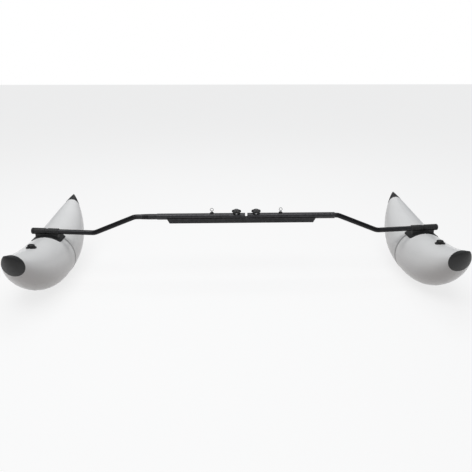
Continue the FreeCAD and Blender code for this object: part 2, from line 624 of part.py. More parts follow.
def float_body(grow=0.0, reach=1.0):
    """Lofted float in the sleeve's frame. Pointed when it reaches its tips, or flat-ended short of them."""
    half = size("float_length") / 2 + (2 * grow if grow > 0 else 0)
    count = STATIONS_PER_END
    shares = [reach * sin(pi / 2 * index / count) for index in range(count + 1)]
    if reach == 1:
        shares.pop()
    sections = []
    for sign in (-1, 1):
        for share in shares[1:] if sign > 0 else shares:
            top, diameter = float_section(share, grow)
            centre = Vector(0, sign * share * half, top - diameter / 2)
            sections.append((centre.y, Part.Wire(Part.makeCircle(diameter / 2, centre, ACROSS))))
    sections = [wire for _, wire in sorted(sections, key=lambda section: section[0])]
    if reach == 1:
        tip = size("float_end_rise") - size("float_drop") + max(grow, 0)
        sections.insert(0, Part.Vertex(0, -half, tip))
        sections.append(Part.Vertex(0, half, tip))
    return Part.makeLoft(sections, True, False)


def slab(y_low, y_high, half_width, z_low=None):
    """A box across the float between two stations."""
    depth = 2 * size("float_diameter")
    low = -depth if z_low is None else z_low
    return Part.makeBox(2 * half_width, y_high - y_low, 2 * depth, Vector(-half_width, y_low, low))


def ground():
    """Everything under the floor, in world axes."""
    reach = 2 * size("float_length")
    corner = Vector(place("sleeve_x") - reach / 2, -reach / 2, -reach)
    return Part.makeBox(reach, reach, reach, corner)


def valve_frame():
    """Valve's axis, square to the float's skin, in the sleeve's frame."""
    share = size("valve_ahead") / (size("float_length") / 2)
    top, _ = float_section(share, 0)
    return Placement(Vector(0, -size("valve_ahead"), top), Rotation(ALONG, -place("valve_slope")))


def valve_bar(diameter, low, high):
    bar = Part.makeCylinder(diameter / 2, high - low, Vector(0, 0, low), UP)
    bar.Placement = valve_frame()
    return bar


def make_float():
    """Float skin with its air chamber, girth seam, end patches and saddle patch."""
    whole = float_body()
    chamber = float_body(-size("float_wall"), size("chamber_reach"))
    throat = valve_bar(size("valve_throat"), -size("valve_depth") * 2, size("valve_neck_lift"))
    skin = whole.cut(chamber).cut(throat)
    pair(fixed("skin_solid", in_place(skin).cut(ground())), "float_skin")

    width = size("float_diameter")
    low = size("seam_behind") - size("seam_width") / 2
    band = float_body(size("seam_lift")).common(slab(low, low + size("seam_width"), width)).cut(whole)
    saddle_body = float_body(size("saddle_lift"))
    saddle_low = size("saddle_behind") - size("saddle_length") / 2
    saddle_box = slab(saddle_low, saddle_low + size("saddle_length"), size("saddle_width") / 2,
                      -size("float_drop") - size("float_diameter") / 2)
    pair(fixed("seam_solid", in_place(band.cut(saddle_box)).cut(ground())), "girth_seam")
    pair(fixed("saddle_solid", in_place(saddle_body.common(saddle_box).cut(whole))), "saddle_patch")

    half = size("float_length") / 2
    ends = float_body(size("end_patch_lift"))
    nose = ends.common(slab(-2 * half, size("nose_patch_reach") - half, width)).cut(whole)
    tail = ends.common(slab(half - size("tail_patch_reach"), 2 * half, width)).cut(whole)
    pair(fixed("nose_solid", in_place(nose)), "nose_patch")
    pair(fixed("tail_solid", in_place(tail)), "tail_patch")
    return whole, saddle_body


def make_valve(whole):
    """Inflation valve: welded base, grid, rubber diaphragm and screw cap."""
    lift = size("valve_flange_lift")
    flange = valve_bar(size("valve_flange"), -2 * lift, lift).cut(whole)
    throat = valve_bar(size("valve_throat"), -size("valve_depth"), lift)
    neck = valve_bar(size("valve_neck"), 0, size("valve_neck_lift")).cut(whole)
    bore = valve_bar(size("valve_bore"), -2 * size("valve_depth"), 2 * size("valve_neck_lift"))
    base = flange.fuse(throat).fuse(neck).cut(bore).removeSplitter()
    pair(fixed("valve_base_solid", in_place(base)), "valve_base")

    grid_top = -size("valve_depth") / 2
    grid_low = grid_top - size("spider_thickness")
    grid = valve_bar(size("valve_bore"), grid_low, grid_top)
    grid = grid.cut(valve_bar(size("diaphragm_stem") + 2 * size("running_gap"), grid_low - 1, grid_top + 1))
    ring = (size("valve_bore") + size("diaphragm_button")) / 4
    for index in range(int(size("spider_holes"))):
        angle = 2 * pi * index / size("spider_holes")
        hole = Part.makeCylinder(size("spider_hole") / 2, size("spider_thickness") + 2,
                                 Vector(ring * cos(angle), ring * sin(angle), grid_low - 1), UP)
        hole.Placement = valve_frame()
        grid = grid.cut(hole)
    pair(fixed("valve_grid_solid", in_place(grid)), "valve_grid")

    thin = size("diaphragm_thickness")
    button = grid_top + size("diaphragm_travel")
    flap = valve_bar(size("valve_bore") - thin, grid_low - thin, grid_low)
    flap = flap.fuse(valve_bar(size("diaphragm_stem"), grid_low - thin, button + thin))
    flap = flap.fuse(valve_bar(size("diaphragm_button"), button, button + thin))
    pair(fixed("valve_flap_solid", in_place(flap.removeSplitter())), "valve_diaphragm")

    gap = size("valve_cap_gap")
    cap = Part.makeCylinder(size("valve_cap_diameter") / 2, size("valve_cap_lift") - lift - gap,
                            Vector(0, 0, lift + gap), UP)
    rim = [edge for edge in cap.Edges if edge.Closed and edge.CenterOfMass.z > size("valve_cap_lift") - 1]
    cap = cap.makeFillet(size("valve_cap_round"), rim)
    cap = cap.cut(Part.makeCylinder(size("valve_neck") / 2 + gap, size("valve_neck_lift") - lift,
                                    Vector(0, 0, lift + gap), UP))
    cap.Placement = valve_frame()
    pair(fixed("valve_cap_solid", in_place(cap)), "valve_cap")


def build():
    make_rail()
    make_rail_plug("left_rail_plug", -1)
    make_rail_plug("right_rail_plug", 1)
    make_receiver()
    make_knob()
    make_bolt()
    make_washer()
    make_nut()
    make_plunger()
    make_slide_tube()
    make_glide()
    make_arm()
    whole, saddle_top = make_float()
    make_sleeve(saddle_top)
    make_valve(whole)
    doc.recompute()


def check():
    """Every object is healthy, and every piece is one or more valid solids."""
    for thing in doc.Objects:
        if "Invalid" in thing.State or "Error" in thing.State:
            raise RuntimeError(f"{thing.Label} failed: {thing.State}")
    for piece in nodes:
        shape = piece.Shape
        if shape.isNull() or not shape.isValid() or not shape.Solids:
            raise RuntimeError(f"{piece.Label} has no valid solid")


def export():
    os.makedirs(OUT_DIR, exist_ok=True)
    for piece in nodes:
        piece.Shape.exportStep(os.path.join(OUT_DIR, f"{piece.Label}.step"))


build()
check()
export()
print(len(nodes), "nodes written; receiver axis at", round(place("axis_height"), 2),
      "sleeve at", round(place("sleeve_x"), 2), round(place("sleeve_height"), 2))
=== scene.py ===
"""Kayak outrigger: dresses the deck rail, telescoping arms and inflated floats, and sets the studio round them."""

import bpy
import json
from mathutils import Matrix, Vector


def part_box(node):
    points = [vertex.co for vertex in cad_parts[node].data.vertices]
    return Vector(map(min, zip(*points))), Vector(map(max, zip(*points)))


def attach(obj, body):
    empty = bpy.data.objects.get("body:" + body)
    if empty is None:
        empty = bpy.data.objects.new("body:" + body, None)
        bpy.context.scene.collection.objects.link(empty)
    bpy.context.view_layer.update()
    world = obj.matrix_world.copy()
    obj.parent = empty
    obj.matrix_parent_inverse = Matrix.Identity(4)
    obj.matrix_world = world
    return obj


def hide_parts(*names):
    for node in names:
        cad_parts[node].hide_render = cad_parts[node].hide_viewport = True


bl_info = {
    "name": "Kayak Outrigger Dresser",
    "version": (1, 0, 0),
    "blender": (4, 5, 0),
    "location": "View3D > Sidebar > Outrigger",
    "description": "Models and finishes an outrigger with inflated floats on its solid frame",
    "category": "Object",
}

import json
from math import asin, atan2, cos, pi, radians, sin

import bmesh
import bpy
from bpy.props import FloatProperty, FloatVectorProperty, IntProperty, PointerProperty
from mathutils import Matrix, Vector

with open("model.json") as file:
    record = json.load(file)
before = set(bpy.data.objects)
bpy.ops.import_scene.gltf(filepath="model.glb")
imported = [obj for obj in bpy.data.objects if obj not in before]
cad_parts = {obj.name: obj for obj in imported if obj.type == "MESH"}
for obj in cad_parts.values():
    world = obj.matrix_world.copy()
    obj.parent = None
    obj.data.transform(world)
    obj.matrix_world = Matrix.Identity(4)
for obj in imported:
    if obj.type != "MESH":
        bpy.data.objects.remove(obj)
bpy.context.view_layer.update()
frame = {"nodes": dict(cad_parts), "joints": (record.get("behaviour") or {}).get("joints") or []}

MM = 0.001
SIDES = ("left", "right")
OUTWARD = {"left": -1, "right": 1}
JOINTS = {joint["name"]: joint for joint in frame["joints"]}
UP = Vector((0, 0, 1))


def span(node, axis):
    """Size of a solid along one axis."""
    low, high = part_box(node)
    return (high - low)[axis]


class FloatSizes(bpy.types.PropertyGroup):
    """Shape of the two inflated floats."""
    length: FloatProperty(name="Length", description="Nose to tail", default=span("right_float_skin", 1),
                          unit="LENGTH")
    diameter: FloatProperty(name="Diameter", description="Across the middle",
                            default=span("right_float_skin", 0), unit="LENGTH")
    drop: FloatProperty(name="Drop", description="Arm axis down to the top of the middle", default=21.1 * MM,
                        unit="LENGTH")
    end_rise: FloatProperty(name="End Rise", description="Nose and tail over the top of the middle",
                            default=85 * MM, unit="LENGTH")
    bow: FloatProperty(name="Bow", description="Exponent of the upward curve", default=2.1)
    fullness: FloatProperty(name="Fullness", description="Exponent that keeps the ends full", default=2.8)
    taper: FloatProperty(name="Taper", description="Exponent of the pointed ends", default=0.82)
    pucker: FloatProperty(name="Pucker", description="Height of the small gathers beside the weld seams",
                          default=0.5 * MM, unit="LENGTH")
    ridge: FloatProperty(name="Ridge", description="Height of the welds along the top and the keel",
                         default=1.1 * MM, unit="LENGTH")
    rings: IntProperty(name="Rings", description="Rings of faces along the float", default=128)
    segments: IntProperty(name="Segments", description="Faces round the float", default=144)


class TrimSizes(bpy.types.PropertyGroup):
    """Patches, tapes and moulded fittings."""
    tape_width: FloatProperty(name="Tape Width", description="Girth seam tape",
                              default=span("right_girth_seam", 1), unit="LENGTH")
    tape_lift: FloatProperty(name="Tape Lift", description="Thickness of the girth tape", default=0.8 * MM,
                             unit="LENGTH")
    boot_lift: FloatProperty(name="Boot Lift", description="Thickness of the nose and tail boots",
                             default=1.5 * MM, unit="LENGTH")
    saddle_lift: FloatProperty(name="Saddle Lift", description="Thickness of the saddle patch",
                               default=2 * MM, unit="LENGTH")
    saddle_corner: FloatProperty(name="Saddle Corner", description="Rounding of the saddle patch's corners",
                                 default=12 * MM, unit="LENGTH")
    sleeve_ribs: IntProperty(name="Sleeve Ribs", description="Moulded ribs on each barrel of the sleeve",
                             default=5)
    knob_lobes: IntProperty(name="Knob Lobes", description="Lobes on a star knob", default=5)
    cap_grips: IntProperty(name="Cap Grips", description="Grips round a valve cap", default=18)


class Finishes(bpy.types.PropertyGroup):
    """Colours of the pieces."""
    float_vinyl: FloatVectorProperty(name="Float", description="Coated fabric of the floats", subtype="COLOR",
                                     default=(0.80, 0.80, 0.795))
    # This grey is painted shade: it darkens the girth tape to stand in for the shade in the seam's crease.
    seam_tape_painted_shade: FloatVectorProperty(name="Seam Tape", description="Girth seam tape", subtype="COLOR",
                                   default=(0.47, 0.47, 0.465))
    black_vinyl: FloatVectorProperty(name="Patches", description="Boots, saddles and sleeves", subtype="COLOR",
                                     default=(0.012, 0.012, 0.0125))
    anodised: FloatVectorProperty(name="Tubes", description="Black anodised tubes", subtype="COLOR",
                                  default=(0.009, 0.009, 0.0105))
    rail: FloatVectorProperty(name="Rail", description="Black anodised rail", subtype="COLOR",
                              default=(0.008, 0.008, 0.009))
    moulded: FloatVectorProperty(name="Plastic", description="Moulded black plastic", subtype="COLOR",
                                 default=(0.010, 0.010, 0.010))
    rubber: FloatVectorProperty(name="Rubber", description="End caps and valve flaps", subtype="COLOR",
                                default=(0.018, 0.018, 0.019))
    steel: FloatVectorProperty(name="Steel", description="Bolts, pins and washers", subtype="COLOR",
                               default=(0.52, 0.52, 0.53))


class StudioSizes(bpy.types.PropertyGroup):
    """Camera, floor and lights."""
    camera_place: FloatVectorProperty(name="Camera Place", description="Where the camera stands",
                                      default=(-57.3 * MM, -2052.8 * MM, 1075.2 * MM), subtype="TRANSLATION")
    camera_tilt: FloatProperty(name="Camera Tilt", description="How far the camera looks down",
                               default=radians(22.33), subtype="ANGLE")
    camera_turn: FloatProperty(name="Camera Turn", description="How far the camera looks to the right",
                               default=radians(1.48), subtype="ANGLE")
    lens: FloatProperty(name="Lens", description="Focal length on a 36 mm sensor", default=32.55)
    floor_size: FloatProperty(name="Floor", description="Side of the floor", default=40, unit="LENGTH")


SETTINGS = {"outrigger_float": FloatSizes, "outrigger_trim": TrimSizes, "outrigger_finish": Finishes,
            "outrigger_studio": StudioSizes}


def start_fresh():
    """Object mode with nothing selected."""
    if bpy.context.mode != "OBJECT":
        bpy.ops.object.mode_set(mode="OBJECT")
    bpy.ops.object.select_all(action="DESELECT")


def name_active(name):
    piece = bpy.context.active_object
    piece.name = name
    piece.data.name = name
    return piece


def put(piece, place):
    """Sets a piece in its place and leaves the place in its mesh."""
    start_fresh()
    piece.select_set(True)
    bpy.context.view_layer.objects.active = piece
    piece.matrix_world = place @ piece.matrix_world
    bpy.ops.object.transform_apply(location=True, rotation=True, scale=True)
    return piece


def tidy(piece, sharp=35):
    """Merges doubles, turns the faces outwards and smooths up to an angle."""
    start_fresh()
    piece.select_set(True)
    bpy.context.view_layer.objects.active = piece
    bpy.ops.object.mode_set(mode="EDIT")
    bpy.ops.mesh.select_all(action="SELECT")
    bpy.ops.mesh.remove_doubles(threshold=0.00001)
    bpy.ops.mesh.normals_make_consistent(inside=False)
    bpy.ops.object.mode_set(mode="OBJECT")
    bpy.ops.object.shade_smooth_by_angle(angle=radians(sharp))
    return piece


def add_modifier(piece, kind, **settings):
    """Adds a modifier with its settings and applies it."""
    start_fresh()
    piece.select_set(True)
    bpy.context.view_layer.objects.active = piece
    bpy.ops.object.modifier_add(type=kind)
    modifier = piece.modifiers[-1]
    for setting, value in settings.items():
        setattr(modifier, setting, value)
    bpy.ops.object.modifier_apply(modifier=modifier.name)
    return piece


def draw_up(outline, base):
    """Draws the selected ring up through (radius, height) steps by extruding and resizing."""
    radius, height = base
    for next_radius, next_height in outline:
        bpy.ops.mesh.extrude_region_move(TRANSFORM_OT_translate={"value": (0, 0, next_height - height)})
        ratio = next_radius / radius
        bpy.ops.transform.resize(value=(ratio, ratio, 1), center_override=(0, 0, next_height))
        radius, height = next_radius, next_height


def turned(name, outline, segments=64, hollow=False):
    """A turned piece along +Z. A hollow one has an outline that closes on itself."""
    start_fresh()
    radius, height = outline[0]
    bpy.ops.mesh.primitive_circle_add(vertices=segments, radius=radius, location=(0, 0, height),
                                      fill_type="NOTHING" if hollow else "NGON")
    piece = name_active(name)
    bpy.ops.object.transform_apply(location=True, rotation=True, scale=True)
    bpy.ops.object.mode_set(mode="EDIT")
    bpy.ops.mesh.select_all(action="SELECT")
    draw_up(outline[1:] + (outline[:1] if hollow else []), outline[0])
    return tidy(piece)


def push_faces(piece, chosen, distance, inset):
    """Raises chosen faces of a piece one by one along their normals, with a sloped edge."""
    start_fresh()
    piece.select_set(True)
    bpy.context.view_layer.objects.active = piece
    bpy.ops.object.mode_set(mode="EDIT")
    bpy.ops.mesh.select_all(action="DESELECT")
    mesh = bmesh.from_edit_mesh(piece.data)
    for face in mesh.faces:
        face.select_set(chosen(face))
    bmesh.update_edit_mesh(piece.data)
    bpy.ops.mesh.inset(thickness=inset, depth=distance, use_individual=True)
    bpy.ops.object.mode_set(mode="OBJECT")
    return piece


def finish_piece(piece, body, material, slot, *nodes):
    """Gives a piece its material, its body, its slot and the solids that it stands for."""
    piece.data.materials.clear()
    piece.data.materials.append(material)
    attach(piece, body)
    if nodes:
        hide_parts(*nodes)
    return piece


def sleeve_place(side):
    """The middle of a sleeve: X along the arm's outer end, Z square to it."""
    joint = JOINTS[f"{side}_float_turn"]
    along = Vector(joint["axis"]).normalized()
    high = along.cross(Vector((0, 1, 0)))
    turn = Matrix((along, (0, 1, 0), high)).transposed().to_4x4()
    return Matrix.Translation(joint["pos_m"]) @ turn


def float_ring(y):
    """Height of the top and diameter of the float at a station, in the sleeve's frame."""
    sizes = bpy.context.scene.outrigger_float
    share = min(abs(y) / (sizes.length / 2), 1)
    top = sizes.end_rise * share ** sizes.bow - sizes.drop
    return top, sizes.diameter * (1 - share ** sizes.fullness) ** sizes.taper


def on_float(y, angle, lift=0):
    """A point of the float's skin. The angle runs from the top, and the lift is square to the skin."""
    top, across = float_ring(y)
    radius = across / 2 + lift
    return Vector((radius * sin(angle), y, top - across / 2 + radius * cos(angle)))


def keep_off_floor(piece):
    for vertex in piece.data.vertices:
        vertex.co.z = max(vertex.co.z, 0)


def gathers(y, angle):
    """Weld ridges along the top and the keel, with small gathers that fade away from them."""
    sizes = bpy.context.scene.outrigger_float
    share = abs(y) / (sizes.length / 2)
    lift = 0
    for seam in (0, pi):
        off = abs((angle - seam + pi) % (2 * pi) - pi) * sizes.diameter / 2
        lift += sizes.ridge * max(0, 1 - (off / (5 * MM)) ** 2)
        wave = sin(y / (4.1 * MM)) * 0.6 + sin(y / (6.7 * MM) + 1.3) * 0.4
        lift += sizes.pucker * wave * min(off / (6 * MM), 1) * max(0, 1 - off / (42 * MM)) ** 2
    return lift * max(0, 1 - share ** 6)


def unit_ball(name, rings, segments):
    """A sphere of radius 1 with its poles at the nose and the tail."""
    start_fresh()
    bpy.ops.mesh.primitive_uv_sphere_add(segments=segments, ring_count=rings, radius=1)
    piece = name_active(name)
    return put(piece, Matrix.Rotation(pi / 2, 4, "X"))


def lay_on_float(piece, side, lift):
    """Stretches a ball of radius 1 over the float, lifted square to the skin."""
    half = bpy.context.scene.outrigger_float.length / 2
    place = sleeve_place(side)
    for vertex in piece.data.vertices:
        x, y, z = vertex.co
        angle = atan2(x, z)
        y = max(-1, min(1, y)) * half
        vertex.co = place @ on_float(y, angle, lift(y, angle))
    return piece


def cloth_grain(sheet, scale, strength):
    """Bump nodes for a coated fabric: a fine woven base under a smooth skin, read from the piece's place."""
    nodes = sheet.node_tree.nodes
    links = sheet.node_tree.links
    place = nodes.new("ShaderNodeTexCoord")
    height = None
    for direction in ("X", "Y"):
        wave = nodes.new("ShaderNodeTexWave")
        wave.bands_direction = direction
        wave.inputs["Scale"].default_value = scale
        wave.inputs["Distortion"].default_value = 0.6
        links.new(place.outputs["Object"], wave.inputs["Vector"])
        if height is None:
            height = wave.outputs["Fac"]
            continue
        both = nodes.new("ShaderNodeMath")
        both.operation = "MULTIPLY"
        links.new(height, both.inputs[0])
        links.new(wave.outputs["Fac"], both.inputs[1])
        height = both.outputs[0]
    return bump(sheet, height, strength, 0.0002)


def bump(material, height, strength, distance, under=None):
    """A bump node over another one, which it returns."""
    nodes = material.node_tree.nodes
    links = material.node_tree.links
    node = nodes.new("ShaderNodeBump")
    node.inputs["Strength"].default_value = strength
    node.inputs["Distance"].default_value = distance
    links.new(height, node.inputs["Height"])
    if under is not None:
        links.new(under.outputs["Normal"], node.inputs["Normal"])
    return node


def noise(material, scale, detail=4, stretch=(1, 1, 1), roughness=0.55):
    """A noise texture on the piece's own coordinates, stretched along an axis if asked."""
    nodes = material.node_tree.nodes
    links = material.node_tree.links
    place = nodes.new("ShaderNodeTexCoord")
    mapping = nodes.new("ShaderNodeMapping")
    mapping.inputs["Scale"].default_value = stretch
    texture = nodes.new("ShaderNodeTexNoise")
    texture.inputs["Scale"].default_value = scale
    texture.inputs["Detail"].default_value = detail
    texture.inputs["Roughness"].default_value = roughness
    links.new(place.outputs["Object"], mapping.inputs["Vector"])
    links.new(mapping.outputs["Vector"], texture.inputs["Vector"])
    return texture


def ramp(material, source, stops):
    """A colour ramp from (position, colour) stops."""
    node = material.node_tree.nodes.new("ShaderNodeValToRGB")
    elements = node.color_ramp.elements
    while len(elements) < len(stops):
        elements.new(0.5)
    for element, (position, colour) in zip(elements, stops):
        element.position = position
        element.color = (*colour, 1)
    material.node_tree.links.new(source, node.inputs["Fac"])
    return node


def shade(colour, factor):
    return tuple(min(1, channel * factor) for channel in colour)


def new_material(name, **sockets):
    """A principled material with its plain numbers set on the shader."""
    material = bpy.data.materials.new(name)
    material.use_nodes = True
    shader = material.node_tree.nodes["Principled BSDF"]
    for socket, value in sockets.items():
        shader.inputs[socket.replace("_", " ")].default_value = value
    return material, shader


def spread_roughness(material, shader, source, low, high):
    """Roughness that wanders between two values."""
    node = material.node_tree.nodes.new("ShaderNodeMapRange")
    node.inputs["To Min"].default_value = low
    node.inputs["To Max"].default_value = high
    material.node_tree.links.new(source, node.inputs["Value"])
    material.node_tree.links.new(node.outputs["Result"], shader.inputs["Roughness"])


def wear_by_edge(material, shader, colour, worn, amount):
    """Base colour that lightens on rubbed edges and in fine scratches."""
    nodes = material.node_tree.nodes
    links = material.node_tree.links
    geometry = nodes.new("ShaderNodeNewGeometry")
    edge = ramp(material, geometry.outputs["Pointiness"], ((0.52, (0, 0, 0)), (0.60, (1, 1, 1))))
    patchy = noise(material, 90, 6)
    both = nodes.new("ShaderNodeMath")
    both.operation = "MULTIPLY"
    links.new(edge.outputs["Color"], both.inputs[0])
    links.new(patchy.outputs["Fac"], both.inputs[1])
    fine = noise(material, 16, 5)
    base = ramp(material, fine.outputs["Fac"], ((0.3, shade(colour, 0.8)), (0.7, shade(colour, 1.25))))
    amounts = nodes.new("ShaderNodeMath")
    amounts.operation = "MULTIPLY"
    amounts.inputs[1].default_value = amount
    links.new(both.outputs[0], amounts.inputs[0])
    mix = nodes.new("ShaderNodeMix")
    mix.data_type = "RGBA"
    links.new(amounts.outputs[0], mix.inputs["Factor"])
    links.new(base.outputs["Color"], mix.inputs["A"])
    mix.inputs["B"].default_value = (*worn, 1)
    links.new(mix.outputs["Result"], shader.inputs["Base Color"])


def make_float_vinyl(colour):
    """White coated fabric: glossy skin, a trace of its weave, faint soiling and soft dents."""
    material, shader = new_material("float_vinyl", IOR=1.5, Coat_Weight=0.35, Coat_Roughness=0.12)
    cloudy = noise(material, 5, 6)
    tone = ramp(material, cloudy.outputs["Fac"], ((0.25, shade(colour, 0.955)), (0.6, colour),
                                                  (0.85, shade(colour, 1.02))))
    material.node_tree.links.new(tone.outputs["Color"], shader.inputs["Base Color"])
    spread_roughness(material, shader, noise(material, 24, 5).outputs["Fac"], 0.26, 0.36)
    weave = cloth_grain(material, 260, 0.05)
    dents = bump(material, noise(material, 9, 3).outputs["Fac"], 0.12, 0.004, weave)
    material.node_tree.links.new(dents.outputs["Normal"], shader.inputs["Normal"])
    return material


def make_painted_shade_tape(colour):
    """Seam tape: duller than the skin, with the heat weld's fine cross pattern."""
    material, shader = new_material("seam_tape_painted_shade", IOR=1.5)
    # The tape's darker grey base is painted crease shade; the noise only varies it a little.
    tone = ramp(material, noise(material, 60, 4).outputs["Fac"], ((0.3, shade(colour, 0.85)), (0.7, colour)))
    material.node_tree.links.new(tone.outputs["Color"], shader.inputs["Base Color"])
    spread_roughness(material, shader, noise(material, 120, 3).outputs["Fac"], 0.35, 0.5)
    weave = cloth_grain(material, 420, 0.35)
    material.node_tree.links.new(weave.outputs["Normal"], shader.inputs["Normal"])
    return material


def make_black_vinyl(colour):
    """Heavy black coated fabric with a pebbled skin and rubbed edges."""
    material, shader = new_material("black_vinyl", IOR=1.48)
    wear_by_edge(material, shader, colour, (0.09, 0.09, 0.09), 0.5)
    spread_roughness(material, shader, noise(material, 70, 5).outputs["Fac"], 0.42, 0.62)
    weave = cloth_grain(material, 300, 0.3)
    pebbles = bump(material, noise(material, 900, 2).outputs["Fac"], 0.25, 0.0003, weave)
    material.node_tree.links.new(pebbles.outputs["Normal"], shader.inputs["Normal"])
    return material


def make_anodised(name, colour, roughness, grain):
    """Black anodised aluminium with draw lines along the crossbar."""
    material, shader = new_material(name, Metallic=0.55, IOR=1.5)
    wear_by_edge(material, shader, colour, (0.22, 0.22, 0.23), 0.35)
    lines = noise(material, 500, 3, stretch=(0.02, 1, 1))
    spread_roughness(material, shader, lines.outputs["Fac"], roughness - 0.06, roughness + 0.08)
    drawn = bump(material, lines.outputs["Fac"], grain, 0.0001)
    etched = bump(material, noise(material, 1600, 2).outputs["Fac"], grain, 0.00005, drawn)
    material.node_tree.links.new(etched.outputs["Normal"], shader.inputs["Normal"])
    return material


def make_moulded(colour):
    """Moulded black plastic with a fine spark texture."""
    material, shader = new_material("moulded_plastic", IOR=1.47)
    wear_by_edge(material, shader, colour, (0.08, 0.08, 0.08), 0.6)
    spread_roughness(material, shader, noise(material, 150, 4).outputs["Fac"], 0.38, 0.55)
    grain = bump(material, noise(material, 1400, 2).outputs["Fac"], 0.3, 0.0002)
    material.node_tree.links.new(grain.outputs["Normal"], shader.inputs["Normal"])
    return material


def make_rubber(colour):
    """Soft black rubber, dusty in its hollows."""
    material, shader = new_material("soft_rubber", IOR=1.45)
    dusty = noise(material, 40, 6)
    tone = ramp(material, dusty.outputs["Fac"], ((0.35, colour), (0.75, shade(colour, 2.2))))
    material.node_tree.links.new(tone.outputs["Color"], shader.inputs["Base Color"])
    spread_roughness(material, shader, dusty.outputs["Fac"], 0.5, 0.7)
    grain = bump(material, noise(material, 800, 3).outputs["Fac"], 0.25, 0.0002)
    material.node_tree.links.new(grain.outputs["Normal"], shader.inputs["Normal"])
    return material


def make_steel(name, colour, roughness):
    """Turned steel with fine tool marks round its length."""
    material, shader = new_material(name, Metallic=1.0)
    marks = noise(material, 700, 2, stretch=(1, 1, 6))
    tone = ramp(material, marks.outputs["Fac"], ((0.3, shade(colour, 0.8)), (0.7, colour)))
    material.node_tree.links.new(tone.outputs["Color"], shader.inputs["Base Color"])
    spread_roughness(material, shader, marks.outputs["Fac"], roughness, roughness + 0.15)
    cut = bump(material, marks.outputs["Fac"], 0.15, 0.00005)
    material.node_tree.links.new(cut.outputs["Normal"], shader.inputs["Normal"])
    return material


def finishes():
    """All the materials, made once and found again by name."""
    colours = bpy.context.scene.outrigger_finish
    makers = {
        "float_vinyl": lambda: make_float_vinyl(tuple(colours.float_vinyl)),
        "seam_tape_painted_shade": lambda: make_painted_shade_tape(tuple(colours.seam_tape_painted_shade)),
        "black_vinyl": lambda: make_black_vinyl(tuple(colours.black_vinyl)),
        "anodised_tube": lambda: make_anodised("anodised_tube", tuple(colours.anodised), 0.34, 0.12),
        "anodised_rail": lambda: make_anodised("anodised_rail", tuple(colours.rail), 0.46, 0.3),
        "moulded_plastic": lambda: make_moulded(tuple(colours.moulded)),
        "soft_rubber": lambda: make_rubber(tuple(colours.rubber)),
        "turned_steel": lambda: make_steel("turned_steel", tuple(colours.steel), 0.25),
        "blackened_steel": lambda: make_steel("blackened_steel", (0.07, 0.07, 0.072), 0.3),
    }
    return {name: bpy.data.materials.get(name) or make() for name, make in makers.items()}


class OUTRIGGER_OT_floats(bpy.types.Operator):
    """Model the two inflated floats, welded along the top and the keel"""
    bl_idname = "outrigger.floats"
    bl_label = "Floats"

    def execute(self, context):
        sizes = context.scene.outrigger_float
        for side in SIDES:
            piece = unit_ball(f"{side}_float_shell", sizes.rings, sizes.segments)
            lay_on_float(piece, side, gathers)
            keep_off_floor(piece)
            tidy(piece, 60)
            finish_piece(piece, f"{side}_float", finishes()["float_vinyl"], "float_white", f"{side}_float_skin")
        return {"FINISHED"}


class OUTRIGGER_OT_girth_tapes(bpy.types.Operator):
    """Model the tape over each float's girth seam"""
    bl_idname = "outrigger.girth_tapes"
    bl_label = "Girth Tapes"

    def execute(self, context):
        trim = context.scene.outrigger_trim
        low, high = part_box("right_girth_seam")
        middle = (low.y + high.y) / 2
        half = trim.tape_width / 2
        edge = 2 * MM
        outline = ((-half, -0.2 * MM), (-half + edge, trim.tape_lift), (-edge, trim.tape_lift),
                   (0, trim.tape_lift * 0.4), (edge, trim.tape_lift), (half - edge, trim.tape_lift),
                   (half, -0.2 * MM), (0, -0.6 * MM))
        for side in SIDES:
            start_fresh()
            bpy.ops.mesh.primitive_circle_add(vertices=192, radius=1, fill_type="NOTHING")
            piece = name_active(f"{side}_girth_tape")
            bpy.ops.object.mode_set(mode="EDIT")
            bpy.ops.mesh.select_all(action="SELECT")
            for _ in outline:
                bpy.ops.mesh.extrude_region_move(TRANSFORM_OT_translate={"value": (0, 0, 1)})
            bpy.ops.object.mode_set(mode="OBJECT")
            place = sleeve_place(side)
            for vertex in piece.data.vertices:
                step, lift = outline[round(vertex.co.z) % len(outline)]
                angle = atan2(vertex.co.x, vertex.co.y)
                vertex.co = place @ on_float(middle + step, angle, lift)
            keep_off_floor(piece)
            tidy(piece, 50)
            finish_piece(piece, f"{side}_float", finishes()["seam_tape_painted_shade"], "seam_white", f"{side}_girth_seam")
        return {"FINISHED"}


class OUTRIGGER_OT_end_boots(bpy.types.Operator):
    """Model the black boots over the nose and the tail of each float"""
    bl_idname = "outrigger.end_boots"
    bl_label = "End Boots"

    def execute(self, context):
        lift = context.scene.outrigger_trim.boot_lift
        half = context.scene.outrigger_float.length / 2
        edge = 3 * MM
        for side in SIDES:
            for end, sign in (("nose", -1), ("tail", 1)):
                low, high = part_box(f"{side}_{end}_patch")
                rim = high.y if sign < 0 else low.y
                piece = unit_ball(f"{side}_{end}_boot", 160, 96)
                bpy.ops.object.mode_set(mode="EDIT")
                bpy.ops.mesh.select_all(action="SELECT")
                bpy.ops.mesh.bisect(plane_co=(0, rim / half, 0), plane_no=(0, sign, 0), clear_inner=True,
                                    use_fill=False)
                bpy.ops.object.mode_set(mode="OBJECT")
                lay_on_float(piece, side, lambda y, angle: lift * min(1, abs(y - rim) / edge + 0.25))
                tidy(piece, 50)
                add_modifier(piece, "SOLIDIFY", thickness=lift * 1.4, offset=-1)
                tidy(piece, 50)
                finish_piece(piece, f"{side}_float", finishes()["black_vinyl"], "patch_black",
                             f"{side}_{end}_patch")
        return {"FINISHED"}


